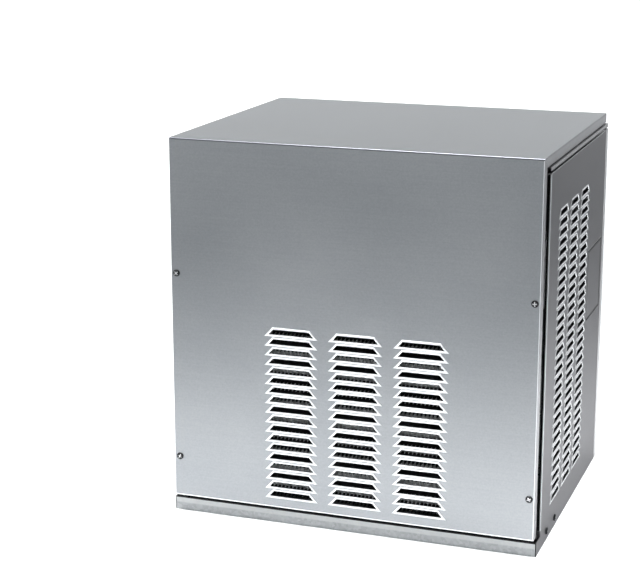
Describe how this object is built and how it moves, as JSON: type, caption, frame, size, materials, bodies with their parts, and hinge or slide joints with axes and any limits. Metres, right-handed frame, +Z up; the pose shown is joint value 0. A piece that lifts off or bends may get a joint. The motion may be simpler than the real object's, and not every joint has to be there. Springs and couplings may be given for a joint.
{
  "type": "flake ice machine",
  "caption": "Box-shaped stainless flake ice machine with pressed louvres in front and side, an auger evaporator, its gear drive and an air-cooled refrigerating set inside.",
  "frame": {"origin": "middle of the box on the plane where the base tray stands on the bin", "axes": "+Z up, +Y towards the rear panel with its connections, so the louvred front faces -Y, +X to the right of someone in front of the machine"},
  "size_m": [0.5652, 0.4786, 0.575],
  "materials": {
    "brushed stainless": "horizontal brushed, satin",
    "zinc sheet": "galvanised",
    "screw steel": "bright plated",
    "fin aluminium": "mill",
    "copper tube": "drawn copper",
    "motor enamel": "satin enamel",
    "fan aluminium": "pressed",
    "compressor enamel": "gloss enamel",
    "rubber": "matte",
    "black plastic": "moulded",
    "brass": "machined",
    "machined stainless": "turned",
    "cast aluminium": "cast and machined",
    "foam": "closed-cell foam",
    "white plastic": "moulded",
    "clear hose": "flexible tube",
    "circuit board": "laminate",
    "red plastic": "moulded"
  },
  "bodies": {
    "machine": {"front_top_cover": "brushed stainless", "right_side_panel": "brushed stainless", "left_side_panel": "brushed stainless", "rear_panel": "brushed stainless", "access_hatch": "brushed stainless", "base_tray": "zinc sheet", "right_post": "zinc sheet", "left_post": "zinc sheet", "right_rail": "zinc sheet", "left_rail": "zinc sheet", "condenser_end_plates": "zinc sheet", "fan_shroud": "zinc sheet", "fan_bracket": "zinc sheet", "reservoir_bracket": "zinc sheet", "control_box": "zinc sheet", "control_box_lid": "zinc sheet", "cabinet_screws": "screw steel", "compressor_studs": "screw steel", "condenser_fins": "fin aluminium", "condenser_tubes": "copper tube", "discharge_line": "copper tube", "liquid_line": "copper tube", "filter_drier": "copper tube", "valve_line": "copper tube", "suction_line": "copper tube", "fan_motor": "motor enamel", "drive_motor": "motor enamel", "gear_housing": "motor enamel", "compressor": "compressor enamel", "compressor_grommets": "rubber", "compressor_terminal_cover": "black plastic", "drain_spigot": "black plastic", "cable_gland": "black plastic", "switch_frame": "black plastic", "expansion_valve": "brass", "auger_bearings": "brass", "float_valve": "brass", "water_inlet": "brass", "evaporator_barrel": "machined stainless", "bearing_housing": "cast aluminium", "extruder_head": "cast aluminium", "evaporator_foam": "foam", "ice_spout": "white plastic", "ice_chute": "white plastic", "float_reservoir": "white plastic", "reservoir_lid": "white plastic", "run_capacitor": "white plastic", "supply_hose": "clear hose", "feed_hose": "clear hose", "drain_hose": "clear hose", "control_board": "circuit board"},
    "auger": {"auger": "machined stainless", "output_coupling": "screw steel", "ice_breaker": "machined stainless"},
    "fan": {"fan_blade": "fan aluminium", "fan_shaft": "screw steel"},
    "float": {"float_lever": "white plastic"},
    "rocker": {"switch_rocker": "red plastic"}
  },
  "joints": [
    {"name": "auger_spin", "type": "hinge", "parent": "machine", "child": "auger", "pos_m": [-0.13, 0.1113, 0.2], "axis": [0, 0, 1], "continuous": true},
    {"name": "fan_spin", "type": "hinge", "parent": "machine", "child": "fan", "pos_m": [0.009, -0.1487, 0.168], "axis": [0, 1, 0], "continuous": true},
    {"name": "float_swing", "type": "hinge", "parent": "machine", "child": "float", "pos_m": [-0.2368, 0.1753, 0.356], "axis": [-1, 0, 0], "range_deg": [-12, 8]},
    {"name": "switch_rock", "type": "hinge", "parent": "machine", "child": "rocker", "pos_m": [0.2255, -0.1919, 0.39], "axis": [1, 0, 0], "range_deg": [0, 16]}
  ]
}
